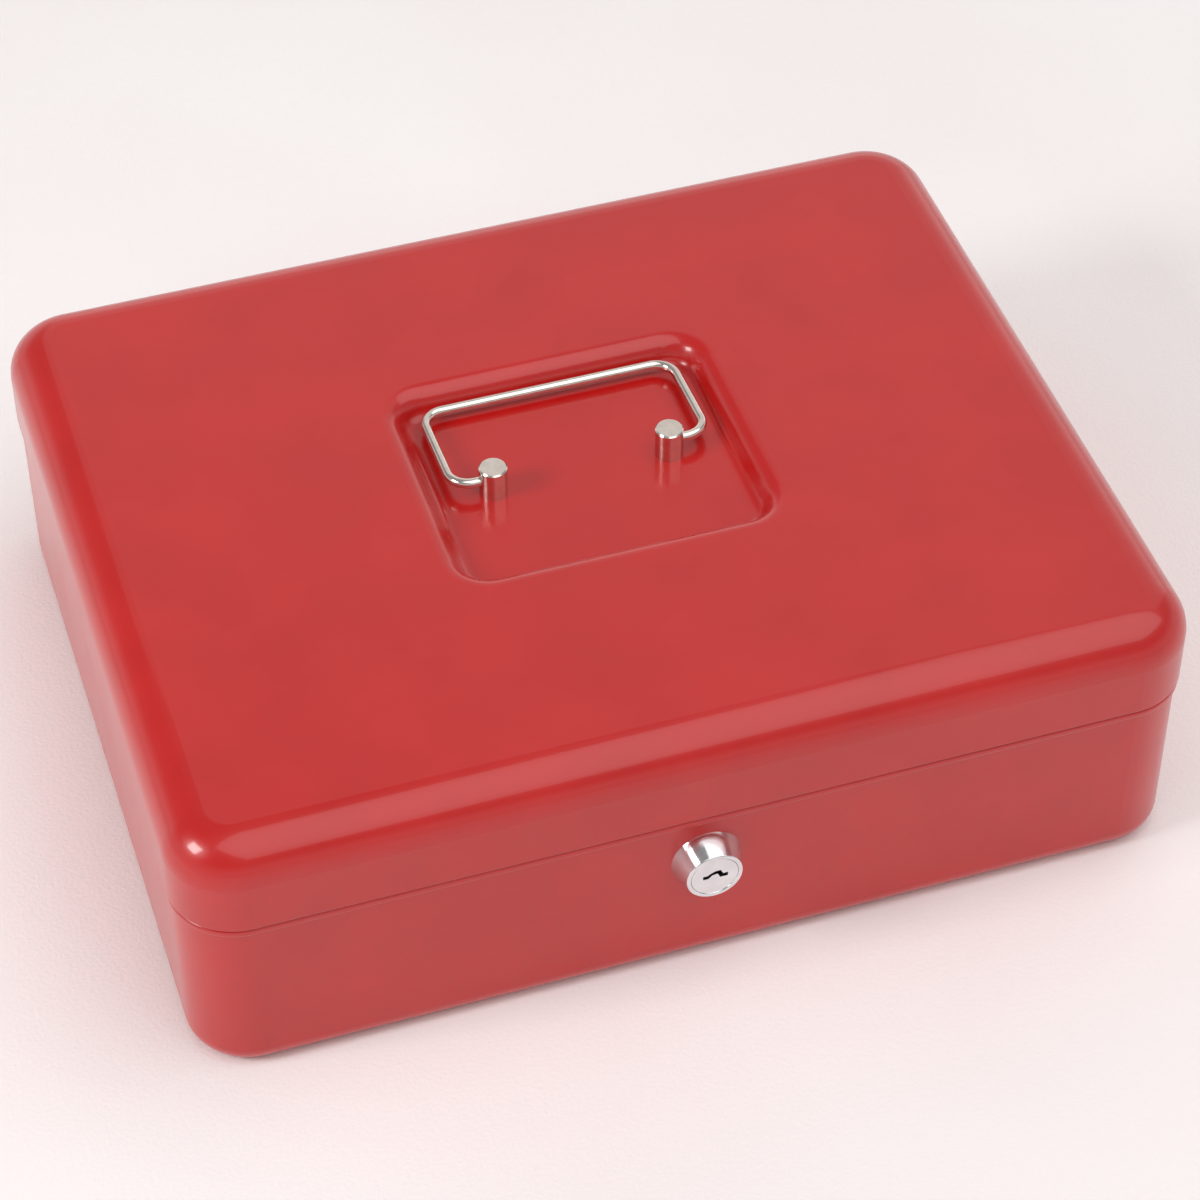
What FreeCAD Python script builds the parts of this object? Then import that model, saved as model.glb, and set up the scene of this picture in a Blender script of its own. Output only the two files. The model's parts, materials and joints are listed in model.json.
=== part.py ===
import FreeCAD, Part
import math
import os
import Sketcher

# A lockable steel cash box with a lift-out coin tray, at its real size in millimetres.
# The origin is at the centre of the base's footprint, on the surface that the box stands on.
# +X is to the right, the lock is on the -Y side, the hinges are on the +Y side, +Z is up.

SIZES = [
    ("box_width", 300, "lid, left to right"),
    ("box_depth", 240, "lid, front to back"),
    ("box_height", 90, "floor to the top of the lid"),
    ("sheet_thickness", 0.8, "pressed steel sheet of the lid and the base"),
    ("corner_radius", 20, "upright corners of the lid"),
    ("lid_edge_radius", 13, "edge round the top of the lid"),
    ("base_edge_radius", 7, "edge round the bottom of the base"),
    ("lid_height", 29.5, "lid, lower edge to its top"),
    ("seam_gap", 0.7, "lower edge of the lid down to the shoulder of the base"),
    ("lid_overhang", 1.0, "how far the lid stands out past the base on each side"),
    ("lid_clearance", 0.5, "hem of the lid to the neck of the base"),
    ("shoulder_radius", 1.0, "rounding of the shoulder of the base"),
    ("neck_height", 8.0, "neck of the base above the lower edge of the lid"),
    ("neck_lip_radius", 0.3, "rounding of the cut edge of the neck"),
    ("hem_height", 6.0, "sheet folded back inside the lower edge of the lid"),
    ("hem_edge_radius", 0.7, "rounding of the folded edge"),
    ("dish_width", 98, "pressed dish under the handle, corner to corner of its mouth"),
    ("dish_length", 83, "pressed dish, front to back"),
    ("dish_depth", 7.5, "lid top to the floor of the dish"),
    ("dish_slant", 28, "walls of the dish, degrees from upright"),
    ("dish_corner_radius", 11, "upright corners of the dish"),
    ("dish_rim_radius", 6, "rounding where the lid turns down into the dish"),
    ("dish_floor_radius", 4, "rounding round the floor of the dish"),
    ("handle_x", 2.2, "middle of the dish and handle, right of the middle of the lid"),
    ("handle_y", 2.5, "middle of the dish and handle, behind the middle of the lid"),
    ("post_spacing", 54.6, "between the two handle posts"),
    ("post_diameter", 8.5, "handle post"),
    ("post_height", 10, "handle post above the floor of the dish"),
    ("post_edge", 0.4, "bevel round the top of a post"),
    ("pivot_height", 5.3, "cross hole of a post above the floor of the dish"),
    ("stud_diameter", 5, "threaded stud under a post"),
    ("stud_length", 6.2, "stud below the floor of the dish"),
    ("stud_clearance", 0.15, "round the stud in its hole"),
    ("washer_thickness", 1.0, "washer under a handle nut"),
    ("washer_diameter", 10, "washer under a handle nut"),
    ("handle_nut_flats", 8, "handle nut, across flats"),
    ("handle_nut_height", 4, "handle nut"),
    ("thread_fit", 0.05, "radial gap that stands for a thread or a slip fit"),
    ("wire_diameter", 3.0, "wire of the handle"),
    ("wire_fit", 0.1, "round the wire in a post"),
    ("wire_in_post", 3.4, "how far each end of the wire goes into its post"),
    ("wire_end_gap", 1.1, "end of the wire to the bottom of its hole"),
    ("bail_width", 79, "handle, leg to leg, to the middle of the wire"),
    ("bail_reach", 35.3, "handle, pivot to rail, to the middle of the wire"),
    ("bail_bend_radius", 6.5, "bends of the handle, to the middle of the wire"),
    ("bail_tilt", 3, "handle lying back, degrees below level"),
    ("lock_below_lid", 17.9, "axis of the lock below the lower edge of the lid"),
    ("bezel_base_diameter", 21, "lock bezel where it meets the box"),
    ("bezel_front_diameter", 16.5, "lock bezel at its front"),
    ("bezel_length", 7.4, "lock bezel in front of the box"),
    ("bezel_edge_radius", 0.5, "rounded front rim of the bezel"),
    ("barrel_diameter", 15.6, "threaded barrel of the lock"),
    ("barrel_length", 9.5, "barrel behind the front of the box"),
    ("barrel_clearance", 0.2, "round the barrel in the box"),
    ("face_diameter", 13.9, "round face of the lock plug"),
    ("face_thickness", 1.9, "head of the lock plug"),
    ("face_setback", 0.3, "face of the plug behind the rim of the bezel"),
    ("plug_diameter", 11.8, "body of the lock plug"),
    ("keyway_depth", 9.5, "depth of the key slot"),
    ("drive_flats", 6.0, "square end of the plug that drives the cam"),
    ("wafer_count", 4, "wafers in the plug"),
    ("wafer_pitch", 2.1, "from one wafer to the next"),
    ("wafer_fit", 0.1, "round a wafer in its slot"),
    ("wafer_thickness", 0.7, "wafer"),
    ("wafer_length", 9.8, "wafer, along its slot"),
    ("wafer_height", 5.8, "wafer, across its slot"),
    ("wafer_window_length", 8.2, "opening in a wafer for the key"),
    ("wafer_window_height", 3.6, "opening in a wafer for the key"),
    ("lock_nut_flats", 19.5, "nut on the lock barrel, across flats"),
    ("lock_nut_height", 3.0, "nut on the lock barrel"),
    ("cam_thickness", 2.0, "hooked cam"),
    ("cam_gap", 0.2, "end of the barrel to the cam"),
    ("cam_hub_diameter", 15, "hooked cam, round its screw"),
    ("collar_gap", 1.4, "barrel of the lock to the collar of the catch pin, when the lid is shut"),
    ("hook_gap", 0.8, "catch pin to the hook"),
    ("hook_width", 4.0, "hook, across"),
    ("hook_angle", 56, "arc of the hook, degrees"),
    ("cam_turn", 90, "from unlocked to locked, degrees"),
    ("cam_screw_diameter", 4, "screw that holds the cam"),
    ("cam_screw_length", 7, "screw below its head"),
    ("cam_washer_diameter", 9, "washer under the cam screw"),
    ("cam_washer_thickness", 0.8, "washer under the cam screw"),
    ("cam_head_diameter", 7, "head of the cam screw"),
    ("cam_head_height", 2.4, "head of the cam screw"),
    ("screw_slot_width", 1.0, "screwdriver slot"),
    ("catch_width", 24, "catch plate, left to right"),
    ("catch_thickness", 1.0, "catch plate"),
    ("catch_nut_gap", 0.6, "lock nut to the catch plate"),
    ("catch_neck_gap", 1.5, "neck of the base to the catch plate above it"),
    ("catch_barrel_gap", 1.0, "barrel of the lock to the catch plate above it"),
    ("catch_bend_radius", 0.9, "inside bends of the catch plate"),
    ("catch_pin_diameter", 4, "catch pin"),
    ("catch_collar_diameter", 6, "collar of the catch pin"),
    ("catch_pin_length", 8.6, "catch pin, with its collar and its riveted end"),
    ("hinge_spacing", 190, "middle of one hinge to the middle of the other"),
    ("hinge_width", 40, "hinge, left to right"),
    ("hinge_leaf_height", 14, "hinge leaf, from the axis"),
    ("leaf_thickness", 1.0, "hinge leaf"),
    ("knuckle_diameter", 4.6, "hinge knuckle"),
    ("knuckle_width", 15.4, "middle knuckle"),
    ("knuckle_gap", 0.3, "between neighbouring knuckles"),
    ("hinge_gap", 0.4, "hinge knuckle to the back of the lid"),
    ("hinge_pin_diameter", 2.5, "hinge pin"),
    ("pin_overhang", 0.5, "hinge pin past the knuckles at each end"),
    ("rivet_spacing", 24, "two rivets of one hinge leaf"),
    ("rivet_inset", 4.2, "rivet from the far edge of its leaf"),
    ("rivet_diameter", 3.0, "shank of a hinge rivet"),
    ("rivet_head_diameter", 5.4, "head of a hinge rivet"),
    ("rivet_head_height", 1.3, "head of a hinge rivet"),
    ("rivet_tail_height", 0.8, "closed end of a hinge rivet"),
    ("ledge_drop", 1.8, "shoulder of the base down to the top of the tray ledges"),
    ("ledge_length", 150, "tray ledge, front to back"),
    ("ledge_cover", 4.3, "how far a tray ledge reaches in under the tray"),
    ("ledge_flange", 10, "tray ledge, welded flange"),
    ("ledge_thickness", 1.0, "tray ledge"),
    ("tray_side_gap", 5.1, "neck of the base to the tray, left and right"),
    ("tray_back_gap", 5.0, "neck of the base to the back of the tray"),
    ("tray_lock_gap", 5.1, "screw of the cam to the front of the tray"),
    ("tray_rest_gap", 0.2, "tray to the ledges"),
    ("tray_corner_radius", 16, "corners of the tray's rim"),
    ("tray_rim_height", 6.2, "turned-down rim of the tray"),
    ("tray_rim_width", 6, "rim of the tray, edge to the nearest cup"),
    ("tray_wall", 1.6, "moulded wall of the tray"),
    ("tray_rim_rounding", 1.2, "upper edge of the tray's rim"),
    ("cup_height", 30, "tray, rim to the bottom of a cup"),
    ("coin_cup_count", 5, "coin cups, left to right"),
    ("coin_row_length", 92, "row of coin cups, front to back"),
    ("note_cup_count", 3, "long cups behind the coins, left to right"),
    ("cup_spacing", 3.2, "between the outsides of neighbouring cups"),
    ("coin_cup_flat", 10, "flat between the scooped sides of a coin cup"),
    ("note_scoop_radius", 6, "bottom edges of a long cup"),
    ("cup_end_radius", 3, "ends of the cups"),
]

# Places that several pieces share.
BASE_HALF_WIDTH = "(sizes.box_width / 2 - sizes.lid_overhang)"
BASE_HALF_DEPTH = "(sizes.box_depth / 2 - sizes.lid_overhang)"
BASE_CORNER = "(sizes.corner_radius - sizes.lid_overhang)"
SEAM = "(sizes.box_height - sizes.lid_height)"
SHOULDER = f"({SEAM} - sizes.seam_gap)"
NECK_STEP = "(2 * sizes.sheet_thickness + sizes.lid_clearance - sizes.lid_overhang)"
NECK_TOP = f"({SEAM} + sizes.neck_height)"
LID_UNDERSIDE = "(sizes.box_height - sizes.sheet_thickness)"
HEM_TOP = f"({SEAM} + sizes.hem_height)"
DISH_FLOOR = "(sizes.box_height - sizes.dish_depth)"
DISH_UNDERSIDE = "(sizes.box_height - sizes.dish_depth - sizes.sheet_thickness)"
HINGE_Y = "(sizes.box_depth / 2 + sizes.hinge_gap + sizes.knuckle_diameter / 2)"
HINGE_Z = f"({SEAM} - sizes.seam_gap / 2)"
LEAF_TO_RIVET = "(sizes.hinge_leaf_height - sizes.rivet_inset)"
LOCK_Y = f"(-{BASE_HALF_DEPTH})"
CAM_FRONT = "(sizes.barrel_length + sizes.cam_gap)"
CATCH_Y = f"({LOCK_Y} + sizes.sheet_thickness + sizes.lock_nut_height + sizes.catch_nut_gap)"
LOCK_Z = f"({SEAM} - sizes.lock_below_lid)"
CATCH_RADIUS = "(sizes.barrel_diameter / 2 + sizes.collar_gap + sizes.catch_collar_diameter / 2)"
CATCH_Z = f"({LOCK_Z} + {CATCH_RADIUS})"
SCREW_END = (f"({LOCK_Y} + {CAM_FRONT} + sizes.cam_thickness + sizes.cam_washer_thickness"
             " + sizes.cam_head_height)")
NECK_INSIDE = f"({NECK_STEP} + sizes.sheet_thickness)"
LEDGE_TOP = f"({SHOULDER} - sizes.ledge_drop)"
TRAY_TOP = f"({LEDGE_TOP} + sizes.tray_rest_gap + sizes.tray_rim_height)"
TRAY_HALF_WIDTH = f"({BASE_HALF_WIDTH} - {NECK_INSIDE} - sizes.tray_side_gap)"
TRAY_BACK = f"({BASE_HALF_DEPTH} - {NECK_INSIDE} - sizes.tray_back_gap)"
TRAY_FRONT = f"({SCREW_END} + sizes.tray_lock_gap)"
TRAY_MIDDLE = f"(({TRAY_FRONT} + {TRAY_BACK}) / 2)"
TRAY_HALF_LENGTH = f"(({TRAY_BACK} - {TRAY_FRONT}) / 2)"
TINY = 1e-6

doc = FreeCAD.newDocument("cash_box")
sizes = doc.addObject("Spreadsheet::Sheet", "sizes")
for row, (alias, number, meaning) in enumerate(SIZES, start=1):
    sizes.set(f"A{row}", alias)
    sizes.set(f"B{row}", str(number))
    sizes.setAlias(f"B{row}", alias)
    sizes.set(f"C{row}", meaning)
doc.recompute()
sub_parts = []


def size(alias):
    """The number that the sheet holds now."""
    return float(getattr(sizes, alias))


# ---- how a sub-part is built -------------------------------------------------------------------

def seam_level():
    return size("box_height") - size("lid_height")


def new_body(label, x="0", y="0", z="0"):
    """A sub-part with its own frame, placed by three expressions."""
    body = doc.addObject("PartDesign::Body", label)
    body.Label = label
    for axis, place in zip("xyz", (x, y, z)):
        body.setExpression(f".Placement.Base.{axis}", place)
    sub_parts.append(body)
    return body


def new_sketch(body, name, plane, offset="0"):
    """A sketch on one of the body's own origin planes, moved along the plane's normal."""
    sketch = body.newObject("Sketcher::SketchObject", f"{body.Label}_{name}")
    role = f"{plane}_Plane"
    support = next(item for item in body.Origin.OriginFeatures if item.Role == role)
    sketch.AttachmentSupport = [(support, "")]
    sketch.MapMode = "FlatFace"
    sketch.setExpression(".AttachmentOffset.Base.z", offset)
    return sketch


def bind(sketch, kind, *geometry, now, to):
    """A driving dimension that starts at one value and is bound to an expression."""
    number = sketch.addConstraint(Sketcher.Constraint(kind, *geometry, now))
    sketch.setExpression(f"Constraints[{number}]", to)


def polygon(sketch, corners):
    """A closed outline. It is drawn on a unit circle, and its dimensions carry it into place."""
    first = sketch.GeometryCount
    count = len(corners)
    angles = [2 * math.pi * index / count for index in range(count)]
    ring = [FreeCAD.Vector(math.cos(angle), math.sin(angle), 0) for angle in angles]
    for index in range(count):
        sketch.addGeometry(Part.LineSegment(ring[index], ring[(index + 1) % count]))
    for index in range(count):
        following = first + (index + 1) % count
        sketch.addConstraint(Sketcher.Constraint("Coincident", first + index, 2, following, 1))
    for index, (across, up) in enumerate(corners):
        bind(sketch, "DistanceX", first + index, 1, now=ring[index].x, to=across)
        bind(sketch, "DistanceY", first + index, 1, now=ring[index].y, to=up)


def rectangle(sketch, half_across, half_up, across="0", up="0"):
    """A rectangle about a middle point."""
    signs = [("-", "-"), ("+", "-"), ("+", "+"), ("-", "+")]
    corners = [(f"{across} {a} {half_across}", f"{up} {b} {half_up}") for a, b in signs]
    polygon(sketch, corners)


def rounded_rectangle(sketch, half_across, half_up, radius, across="0", up="0"):
    """A rectangle with four equal arcs, drawn small and carried to size by its dimensions."""
    flat, full = 40, 50
    first = sketch.GeometryCount
    sides = [((-flat, -full), (flat, -full)), ((full, -flat), (full, flat)),
             ((flat, full), (-flat, full)), ((-full, flat), (-full, -flat))]
    for start, stop in sides:
        sketch.addGeometry(Part.LineSegment(FreeCAD.Vector(*start, 0), FreeCAD.Vector(*stop, 0)))
    for index, (x, y) in enumerate([(flat, -flat), (flat, flat), (-flat, flat), (-flat, -flat)]):
        ring = Part.Circle(FreeCAD.Vector(x, y, 0), FreeCAD.Vector(0, 0, 1), full - flat)
        turn = (index - 1) * math.pi / 2
        sketch.addGeometry(Part.ArcOfCircle(ring, turn, turn + math.pi / 2))
    for index in range(4):
        arc = first + 4 + index
        following = first + (index + 1) % 4
        sketch.addConstraint(Sketcher.Constraint("Tangent", first + index, 2, arc, 1))
        sketch.addConstraint(Sketcher.Constraint("Tangent", arc, 2, following, 1))
        if index:
            sketch.addConstraint(Sketcher.Constraint("Equal", first + 4, arc))
    for index, kind in enumerate(("Horizontal", "Vertical", "Horizontal", "Vertical")):
        sketch.addConstraint(Sketcher.Constraint(kind, first + index))
    bind(sketch, "Radius", first + 4, now=full - flat, to=radius)
    bind(sketch, "DistanceY", first, 1, now=-full, to=f"{up} - {half_up}")
    bind(sketch, "DistanceX", first + 1, 1, now=full, to=f"{across} + {half_across}")
    bind(sketch, "DistanceY", first + 2, 1, now=full, to=f"{up} + {half_up}")
    bind(sketch, "DistanceX", first + 3, 1, now=-full, to=f"{across} - {half_across}")


def circle(sketch, diameter, across="0", up="0"):
    ring = sketch.addGeometry(Part.Circle(FreeCAD.Vector(), FreeCAD.Vector(0, 0, 1), 1))
    bind(sketch, "DistanceX", ring, 3, now=0, to=across)
    bind(sketch, "DistanceY", ring, 3, now=0, to=up)
    bind(sketch, "Diameter", ring, now=2, to=diameter)


def hexagon(sketch, across_flats):
    corners = [(f"{across_flats} / sqrt(3) * cos({turn} deg)", f"{across_flats} / sqrt(3) * sin({turn} deg)")
               for turn in range(0, 360, 60)]
    polygon(sketch, corners)


def extrude(body, kind, sketch, length, reverse=False, middle=False, slant="0"):
    """A Pad or a Pocket. A Pocket that takes nothing away stops the script."""
    before = body.Shape.Volume if kind == "Pocket" else 0
    feature = body.newObject(f"PartDesign::{kind}", f"{sketch.Name}_{kind.lower()}")
    feature.Profile = sketch
    feature.Reversed = reverse
    if middle:
        feature.Midplane = True
    feature.setExpression("Length", length)
    feature.setExpression("TaperAngle", slant)
    doc.recompute()
    if kind == "Pocket" and not feature.Shape.Volume < before - TINY:
        raise RuntimeError(f"{feature.Name} cuts nothing")
    return feature


def revolve(body, sketch, angle="360", middle=False):
    """A Revolution about the sketch's own horizontal axis."""
    feature = body.newObject("PartDesign::Revolution", f"{sketch.Name}_turned")
    feature.Profile = sketch
    feature.ReferenceAxis = (sketch, ["H_Axis"])
    feature.Midplane = middle
    feature.setExpression("Angle", angle)
    doc.recompute()
    return feature


def level_at(height):
    """Edges that lie at one height."""
    def test(edge):
        box = edge.BoundBox
        return abs(box.ZMin - height) < TINY * 100 and abs(box.ZMax - height) < TINY * 100
    return test


def fresh_edges(feature, older, test):
    """The edges that a feature made and the older feature lacks, where the test holds."""
    known = [edge.CenterOfMass for edge in older.Shape.Edges] if older else []
    names = []
    for number, edge in enumerate(feature.Shape.Edges, start=1):
        middle = edge.CenterOfMass
        if test(edge) and all(middle.distanceToPoint(other) > TINY * 100 for other in known):
            names.append(f"Edge{number}")
    return names


def finish_edges(body, kind, feature, names, expression):
    """A Fillet or a Chamfer on named edges of a feature."""
    if not names:
        raise RuntimeError(f"no edges to finish on {feature.Name}")
    finished = body.newObject(f"PartDesign::{kind}", f"{feature.Name}_{kind.lower()}")
    finished.Base = (feature, names)
    finished.setExpression("Radius" if kind == "Fillet" else "Size", expression)
    doc.recompute()
    return finished


def fillet(body, feature, expression, test, older=None):
    return finish_edges(body, "Fillet", feature, fresh_edges(feature, older, test), expression)


def chamfer(body, feature, expression, test, older=None):
    return finish_edges(body, "Chamfer", feature, fresh_edges(feature, older, test), expression)


def drill(body, name, diameter, points, side):
    """Round holes through the front (-1) or back (+1) wall, at points across and up."""
    plane = f"{-side} * (sizes.box_depth / 2 + sizes.leaf_thickness)"
    sketch = new_sketch(body, name, "XZ", plane)
    for across, up in points:
        circle(sketch, diameter, across, up)
    depth = "sizes.lid_overhang + 2 * sizes.sheet_thickness + sizes.leaf_thickness"
    return extrude(body, "Pocket", sketch, depth, reverse=side > 0)


# ---- pressed steel shells ------------------------------------------------------------------------

def hinge_rivet_points(direction):
    """Four rivet places across the back, above (+) or below (-) the hinge axis."""
    height = f"{HINGE_Z} {direction} {LEAF_TO_RIVET}"
    return [(f"{hinge} * sizes.hinge_spacing / 2 + {rivet} * sizes.rivet_spacing / 2", height)
            for hinge in (-1, 1) for rivet in (-1, 1)]


def inset_outline(sketch, half_width, half_depth, corner, inset):
    """A shell's outline, drawn in by the same amount all round."""
    rounded_rectangle(sketch, f"({half_width} - {inset})", f"({half_depth} - {inset})",
                      f"{corner} - {inset}")


def make_base_shell():
    body = new_body("base_shell")
    sheet = "sizes.sheet_thickness"
    outside = (BASE_HALF_WIDTH, BASE_HALF_DEPTH, BASE_CORNER)
    sketch = new_sketch(body, "outline", "XY")
    inset_outline(sketch, *outside, "0")
    block = extrude(body, "Pad", sketch, SHOULDER)
    fillet(body, block, "sizes.shoulder_radius", level_at(seam_level() - size("seam_gap")))
    sketch = new_sketch(body, "neck", "XY", SHOULDER)
    inset_outline(sketch, *outside, NECK_STEP)
    extrude(body, "Pad", sketch, f"{NECK_TOP} - {SHOULDER}")
    sketch = new_sketch(body, "mouth", "XY", NECK_TOP)
    inset_outline(sketch, *outside, f"({NECK_STEP} + {sheet})")
    extrude(body, "Pocket", sketch, f"{NECK_TOP} - {sheet}")
    # The wider hollow stops one sheet below the shoulder, which leaves the step under the lid.
    sketch = new_sketch(body, "hollow", "XY", f"{SHOULDER} - {sheet}")
    inset_outline(sketch, *outside, sheet)
    feature = extrude(body, "Pocket", sketch, f"{SHOULDER} - 2 * {sheet}")
    # Inside roundings come first, because the sharp hollow would break through a rounded outside.
    roundings = [(f"sizes.base_edge_radius - {sheet}", size("sheet_thickness")),
                 ("sizes.base_edge_radius", 0),
                 ("sizes.neck_lip_radius", seam_level() + size("neck_height"))]
    for radius, height in roundings:
        feature = fillet(body, feature, radius, level_at(height))
    drill(body, "lock_hole", "sizes.barrel_diameter + 2 * sizes.barrel_clearance",
          [("0", LOCK_Z)], side=-1)
    drill(body, "rivet_holes", "sizes.rivet_diameter + 2 * sizes.thread_fit",
          hinge_rivet_points("-"), side=1)


def dish_outline(sketch, wider):
    """The mouth of the pressed dish, made wider all round."""
    rounded_rectangle(sketch, f"(sizes.dish_width / 2 + {wider})", f"(sizes.dish_length / 2 + {wider})",
                      f"sizes.dish_corner_radius + {wider}", "sizes.handle_x", "sizes.handle_y")


def make_lid_shell():
    body = new_body("lid_shell")
    sheet = "sizes.sheet_thickness"
    outside = ("(sizes.box_width / 2)", "(sizes.box_depth / 2)", "sizes.corner_radius")
    sketch = new_sketch(body, "outline", "XY", SEAM)
    inset_outline(sketch, *outside, "0")
    extrude(body, "Pad", sketch, "sizes.lid_height")
    # The mouth is narrower by a second layer of sheet: the hem that is folded back inside.
    sketch = new_sketch(body, "mouth", "XY", SEAM)
    inset_outline(sketch, *outside, f"(2 * {sheet})")
    extrude(body, "Pocket", sketch, f"{LID_UNDERSIDE} - {SEAM}", reverse=True)
    sketch = new_sketch(body, "hollow", "XY", HEM_TOP)
    inset_outline(sketch, *outside, sheet)
    feature = extrude(body, "Pocket", sketch, f"{LID_UNDERSIDE} - {HEM_TOP}", reverse=True)
    underside = size("box_height") - size("sheet_thickness")
    roundings = [(f"sizes.lid_edge_radius - {sheet}", underside),
                 ("sizes.lid_edge_radius", size("box_height")),
                 ("sizes.hem_edge_radius", seam_level())]
    for radius, height in roundings:
        feature = fillet(body, feature, radius, level_at(height))
    # The dish is pressed into the lid: the sheet that hangs below it, then its hollow.
    slope = f"({sheet} * (1 / cos(sizes.dish_slant * 1 deg) - tan(sizes.dish_slant * 1 deg)))"
    sketch = new_sketch(body, "dish_back", "XY", LID_UNDERSIDE)
    dish_outline(sketch, slope)
    pressed = extrude(body, "Pad", sketch, "sizes.dish_depth", reverse=True, slant="-sizes.dish_slant")
    pressed_rim = fillet(body, pressed, f"sizes.dish_rim_radius - {sheet}", level_at(underside),
                         older=feature)
    sketch = new_sketch(body, "dish", "XY", "sizes.box_height")
    dish_outline(sketch, "0")
    dish = extrude(body, "Pocket", sketch, "sizes.dish_depth", slant="-sizes.dish_slant")
    dish_floor = size("box_height") - size("dish_depth")
    rounded = fillet(body, dish, "sizes.dish_floor_radius", level_at(dish_floor))
    rounded = fillet(body, rounded, f"sizes.dish_floor_radius + {sheet}",
                     level_at(dish_floor - size("sheet_thickness")))
    fillet(body, rounded, "sizes.dish_rim_radius", level_at(size("box_height")), older=pressed_rim)
    sketch = new_sketch(body, "stud_holes", "XY", "sizes.box_height")
    for side in (-1, 1):
        circle(sketch, "sizes.stud_diameter + 2 * sizes.stud_clearance",
               f"sizes.handle_x + {side} * sizes.post_spacing / 2", "sizes.handle_y")
    extrude(body, "Pocket", sketch, f"sizes.dish_depth + 2 * {sheet}")
    drill(body, "rivet_holes", "sizes.rivet_diameter + 2 * sizes.thread_fit",
          hinge_rivet_points("+"), side=1)


# ---- hinges --------------------------------------------------------------------------------------

def make_hinge_leaf(label, side, up):
    """One leaf in the frame of the hinge axis. up is 1 for the lid's leaf, -1 for the base's."""
    body = new_body(label, f"{side} * sizes.hinge_spacing / 2", HINGE_Y, HINGE_Z)
    radius = "(sizes.knuckle_diameter / 2)"
    middle_half = "(sizes.knuckle_width / 2)"
    end_width = f"(sizes.hinge_width / 2 - {middle_half} - sizes.knuckle_gap)"
    if up > 0:
        wall = f"-({radius} + sizes.hinge_gap)"
        start = f"({radius} + sizes.knuckle_gap * 2)"
        knuckles = [("0", f"2 * {middle_half}")]
    else:
        wall = f"-({radius} + sizes.hinge_gap + sizes.lid_overhang)"
        start = "(sizes.seam_gap / 2 + sizes.shoulder_radius + sizes.knuckle_gap)"
        knuckles = [(f"{end} * (sizes.hinge_width / 2 - {end_width} / 2)", end_width)
                    for end in (-1, 1)]
    face = f"({wall} + sizes.leaf_thickness)"
    sketch = new_sketch(body, "leaf", "YZ")
    polygon(sketch, [(wall, f"{up} * {start}"), (face, f"{up} * {start}"),
                     (face, f"{up} * sizes.hinge_leaf_height"), (wall, f"{up} * sizes.hinge_leaf_height")])
    extrude(body, "Pad", sketch, "sizes.hinge_width", middle=True)
    # Each knuckle is a ring, and a tongue joins it to the leaf beside it.
    reach = "sizes.knuckle_diameter / 8"
    for number, (place, width) in enumerate(knuckles, start=1):
        sketch = new_sketch(body, f"ring_{number}", "YZ", place)
        circle(sketch, "sizes.knuckle_diameter")
        extrude(body, "Pad", sketch, width, middle=True)
        sketch = new_sketch(body, f"tongue_{number}", "YZ", place)
        polygon(sketch, [(wall, f"{up} * ({start} + {radius})"), (face, f"{up} * ({start} + {radius})"),
                         (f"-{reach}", f"{up} * {radius} * 0.97"), (f"-{radius} * 0.8", f"{up} * {reach}"),
                         (wall, f"{up} * {start}")])
        extrude(body, "Pad", sketch, width, middle=True)
    sketch = new_sketch(body, "bore", "YZ")
    circle(sketch, "sizes.hinge_pin_diameter + 2 * sizes.thread_fit")
    extrude(body, "Pocket", sketch, "sizes.hinge_width * 1.1", middle=True)
    sketch = new_sketch(body, "rivet_holes", "XZ", f"-({face} + sizes.leaf_thickness)")
    for rivet in (-1, 1):
        circle(sketch, "sizes.rivet_diameter + 2 * sizes.thread_fit",
               f"{rivet} * sizes.rivet_spacing / 2", f"{up} * {LEAF_TO_RIVET}")
    extrude(body, "Pocket", sketch, "3 * sizes.leaf_thickness", reverse=True)


def make_hinge_pin(label, side):
    body = new_body(label, f"{side} * sizes.hinge_spacing / 2", HINGE_Y, HINGE_Z)
    sketch = new_sketch(body, "section", "YZ")
    circle(sketch, "sizes.hinge_pin_diameter")
    pin = extrude(body, "Pad", sketch, "sizes.hinge_width + 2 * sizes.pin_overhang", middle=True)
    fillet(body, pin, "sizes.pin_overhang", lambda edge: edge.BoundBox.XLength < TINY * 100)


def make_hinge_rivets(label, wall, inside_layers, direction):
    """Four round-headed rivets through the leaves and the wall whose outer face is given."""
    body = new_body(label)
    points = hinge_rivet_points(direction)
    face = f"({wall} + sizes.leaf_thickness)"
    inside = f"({wall} - {inside_layers} * sizes.sheet_thickness)"
    parts = [("shanks", "sizes.rivet_diameter", inside, f"{face} - {inside}"),
             ("heads", "sizes.rivet_head_diameter", face, "sizes.rivet_head_height"),
             ("tails", "sizes.rivet_head_diameter * 0.85", f"({inside} - sizes.rivet_tail_height)",
              "sizes.rivet_tail_height")]
    for name, diameter, start, length in parts:
        sketch = new_sketch(body, name, "XZ", f"-{start}")
        for across, up in points:
            circle(sketch, diameter, across, up)
        feature = extrude(body, "Pad", sketch, length, reverse=True)
    ends = (feature.Shape.BoundBox.YMin, feature.Shape.BoundBox.YMax)

    def outermost(edge):
        box = edge.BoundBox
        return box.YLength < TINY * 100 and min(abs(box.YMin - end) for end in ends) < TINY * 100
    fillet(body, feature, "sizes.rivet_tail_height * 0.9", outermost)


# ---- lock and catch --------------------------------------------------------------------------------

def lock_body(label):
    """A body whose frame is on the lock axis, where the axis meets the front of the base."""
    return new_body(label, "0", LOCK_Y, LOCK_Z)


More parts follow.
